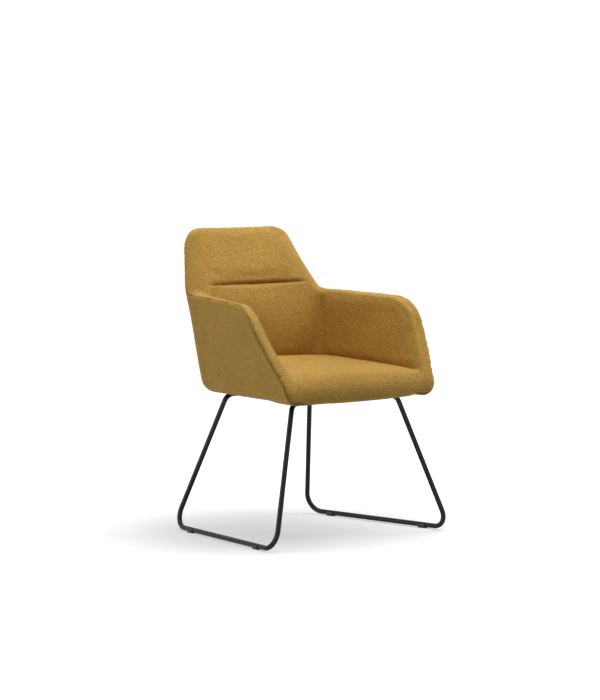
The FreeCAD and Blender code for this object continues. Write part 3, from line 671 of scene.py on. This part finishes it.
# %% Swelling by cloth simulation
SIM_VOXEL = 0.0075
SIM_ROUNDS = 3
FRAMES = 20
SWELL_CAP = 0.0045
NEIGHBOURS = 16
NEIGHBOUR_BLUR = 0.004
NO_LENGTH = 1e-9
SIM_QUALITY = 4
PRESSURE = 4.0
CLOTH_MASS = 0.3
CLOTH_STIFFNESS = 12
CLOTH_BENDING = 0.6


def simulated(thing, held):
    """The skin's mesh after the last frame, with the held vertices where they were."""
    group = thing.vertex_groups.new(name="held")
    group.add([int(index) for index in np.flatnonzero(held)], 1.0, "REPLACE")
    cloth = thing.modifiers.new("cloth", "CLOTH")
    settings = cloth.settings
    settings.vertex_group_mass = "held"
    settings.quality = SIM_QUALITY
    settings.mass = CLOTH_MASS
    settings.tension_stiffness = CLOTH_STIFFNESS
    settings.compression_stiffness = CLOTH_STIFFNESS
    settings.bending_stiffness = CLOTH_BENDING
    settings.use_pressure = True
    settings.uniform_pressure_force = PRESSURE
    settings.effector_weights.gravity = 0
    cloth.collision_settings.use_collision = False
    for number in range(1, FRAMES + 1):
        bpy.context.scene.frame_set(number)
    graph = bpy.context.evaluated_depsgraph_get()
    return bpy.data.meshes.new_from_object(thing.evaluated_get(graph))


def swelling(names, seams, hidden_by):
    """Points of a coarse skin, and how far each moves when the padding pushes its cover out."""
    thing = soft_skin("swelling", names, SIM_VOXEL, SIM_ROUNDS)
    start = points_of(thing)
    held = np.minimum(seams(start), nearness(hidden_by, start)) < SIM_VOXEL
    swelled = simulated(thing, held)
    points = np.empty(len(swelled.vertices) * 3)
    swelled.vertices.foreach_get("co", points)
    move = points.reshape(-1, 3) - start
    length = np.linalg.norm(move, axis=1)
    move *= (np.minimum(length, SWELL_CAP) / np.maximum(length, NO_LENGTH))[:, None]
    bpy.context.scene.frame_set(1)
    bpy.data.objects.remove(thing)
    bpy.data.meshes.remove(swelled)
    print("swelled", len(start), "points, held", int(held.sum()))
    print("mean move", round(float(length.mean()), 4))
    return start, move


def taken_over(thing, start, move):
    """Moves a fine skin as the coarse one moved, each point by the mean of its nearest ones."""
    tree = KDTree(len(start))
    for index, point in enumerate(start):
        tree.insert(point, index)
    tree.balance()
    points = points_of(thing)
    for index, point in enumerate(points):
        near = tree.find_n(point, NEIGHBOURS)
        weights = np.array([1 / (found[2] + NEIGHBOUR_BLUR) for found in near])
        moves = move[[found[1] for found in near]]
        points[index] += (moves * weights[:, None]).sum(axis=0) / weights.sum()
    set_points(thing, points)


print("swelling takes", FRAMES, "frames")

# %% [markdown]
# The seat, the arms and the back are covered as one, so they are one skin here. Seams and folds run where
# the seat meets the arms and the back, where each arm folds into the back, and along the horizontal tuck
# between the back's two panels. Their routes could be drawn as curves, but the frame holds them already:
# a point is near such a line when it is near the solids on both sides of it.

# %% Lines between the padded parts
SEAT = ("seat_cushion",)
ARMS = ("arm_pad_left", "arm_pad_right", "arm_band_left", "arm_band_right")
LOWER_BACK = ("back_cushion",)
UPPER_BACK = ("head_cushion",)
PADDED = SEAT + ARMS + LOWER_BACK + UPPER_BACK
COVERS = ("outer_cover_left", "outer_cover_right", "outer_cover_back")
VOXEL = 0.0039
SKIN_ROUNDS = 7


def lines_between(points):
    """Distances to the seam around the seat, to the folds at the arms and to the tuck in the back."""
    seat, arms = nearness(SEAT, points), nearness(ARMS, points)
    lower, upper = nearness(LOWER_BACK, points), nearness(UPPER_BACK, points)
    seam = np.maximum(seat, np.minimum(arms, lower))
    return seam, np.maximum(arms, lower), np.maximum(lower, upper)


def nearest_line(points):
    """Distance to the nearest of the three."""
    return np.minimum.reduce(lines_between(points))


upholstery = soft_skin("seat_arms_and_back", PADDED, VOXEL, SKIN_ROUNDS)
skin_points = points_of(upholstery)
across, depth, height = np.abs(skin_points[:, 0]), skin_points[:, 1], skin_points[:, 2]
seat_line, fold_line, tuck_line = lines_between(skin_points)
cover_line = nearness(COVERS, skin_points)
print("points on the tuck", int((tuck_line < VOXEL).sum()))

# %% [markdown]
# Towards the front edge the seat runs into the arms with hardly a line, and the arms' tops sweep up into
# the back. A fillet between the solids would do that everywhere along a line, so the skin is smoothed only
# there. Then the foam swells, and the seams are pressed in last, so that they stay crisp. Each range below
# says where such a place starts and where it is full, in metres: heights from the floor, depths from the
# middle, with the front below zero, and places across from the plane of symmetry.

# %% Seat, arms and back
JOIN_WIDTH = 0.020
JOIN_ROUNDS = 40
FRONT_JOIN_DEPTH = (-0.235, -0.262)
UNDER_JOIN_HEIGHT, UNDER_JOIN_DEPTH = (0.43, 0.405), (-0.16, -0.21)
SWEEP_WIDTH = 0.030
SWEEP_FROM, SWEEP_TO, SWEEP_SIDE = (0.635, 0.650), (0.705, 0.670), (0.19, 0.215)
SEAM_DEPTH, SEAM_WIDTH = 0.008, 0.006
SEAM_HEIGHT, SEAM_FRONT = (0.41, 0.445), (-0.278, -0.205)
FOLD_DEPTH, FOLD_WIDTH = 0.006, 0.009
FOLD_TOP, FOLD_BOTTOM = (0.650, 0.61), (0.44, 0.47)
TUCK_DEPTH, TUCK_WIDTH, TUCK_END = 0.008, 0.0042, (0.192, 0.140)
EDGE_DEPTH, EDGE_WIDTH = 0.0022, 0.0028
PROUD = 0.0015
PADDING_FILL = 0.9
FLARE = 0.0035
FLARE_DEPTH, FLARE_SIDE = (0.04, -0.10), (0.17, 0.22)
FLARE_BOTTOM, FLARE_TOP = (0.43, 0.50), (0.655, 0.60)
CORNER_DROP = 0.004
CORNER_HEIGHT, CORNER_DEPTH, CORNER_SIDE = (0.425, 0.395), (-0.14, -0.22), (0.19, 0.235)


def flared(thing):
    """Sets the arms' front halves further apart, and their lower front corners down to the seat's."""
    points = points_of(thing)
    share = (fade(points[:, 1], *FLARE_DEPTH) * fade(points[:, 2], *FLARE_BOTTOM)
             * fade(points[:, 2], *FLARE_TOP))
    points[:, 0] += np.sign(points[:, 0]) * FLARE * share * fade(np.abs(points[:, 0]), *FLARE_SIDE)
    corner = fade(points[:, 2], *CORNER_HEIGHT) * fade(points[:, 1], *CORNER_DEPTH)
    points[:, 2] -= CORNER_DROP * corner * fade(np.abs(points[:, 0]), *CORNER_SIDE)
    set_points(thing, points)


seat_join = close_to(seat_line, JOIN_WIDTH)
front_join = seat_join * fade(depth, *FRONT_JOIN_DEPTH)
under_join = seat_join * fade(height, *UNDER_JOIN_HEIGHT) * fade(depth, *UNDER_JOIN_DEPTH)
arm_sweep = close_to(fold_line, SWEEP_WIDTH) * fade(height, *SWEEP_FROM) * fade(height, *SWEEP_TO)
settled(upholstery, np.maximum(front_join, under_join), JOIN_ROUNDS)
settled(upholstery, arm_sweep * fade(across, *SWEEP_SIDE), JOIN_ROUNDS)
taken_over(upholstery, *swelling(PADDED, nearest_line, ("inner_shell",) + COVERS))
seam_share = fade(height, *SEAM_HEIGHT) * fade(depth, *SEAM_FRONT)
fold_share = fade(height, *FOLD_TOP) * fade(height, *FOLD_BOTTOM)
creased(upholstery, seat_line, SEAM_DEPTH, SEAM_WIDTH, seam_share)
creased(upholstery, fold_line, FOLD_DEPTH, FOLD_WIDTH, fold_share)
creased(upholstery, tuck_line, TUCK_DEPTH, TUCK_WIDTH, fade(across, *TUCK_END))
creased(upholstery, cover_line, EDGE_DEPTH, EDGE_WIDTH)
swollen(upholstery, PROUD)
flared(upholstery)
finished(upholstery, OCHRE_WOOL, "upholstery", PADDING_FILL, *PADDED)
print("upholstery stands for", len(PADDED), "nodes")

# %% [markdown]
# The outside is a thinner cover in three panels, sewn together behind the rear corners. One skin around all
# three would lose the seams, and the simulation has nothing to push here, since the cover lies tight on
# the shell. So each panel is its own skin, with smaller voxels because it is thin. Its rounded edges leave
# a fine groove along the arms' bands and the next panel, which is the seam.

# %% Outer cover
PANEL_VOXEL = 0.0026
PANEL_ROUNDS = 3
PANEL_PROUD = 0.0010
PANEL_EDGE_DEPTH = 0.0012
PANEL_FILL = 1.0

for node in COVERS:
    panel = soft_skin(node + "_cloth", (node,), PANEL_VOXEL, PANEL_ROUNDS)
    beside = nearness(ARMS + LOWER_BACK + UPPER_BACK, points_of(panel))
    creased(panel, beside, PANEL_EDGE_DEPTH, EDGE_WIDTH)
    swollen(panel, PANEL_PROUD)
    flared(panel)
    finished(panel, OCHRE_WOOL, "upholstery", PANEL_FILL, node)
print("outer cover in", len(COVERS), "panels")
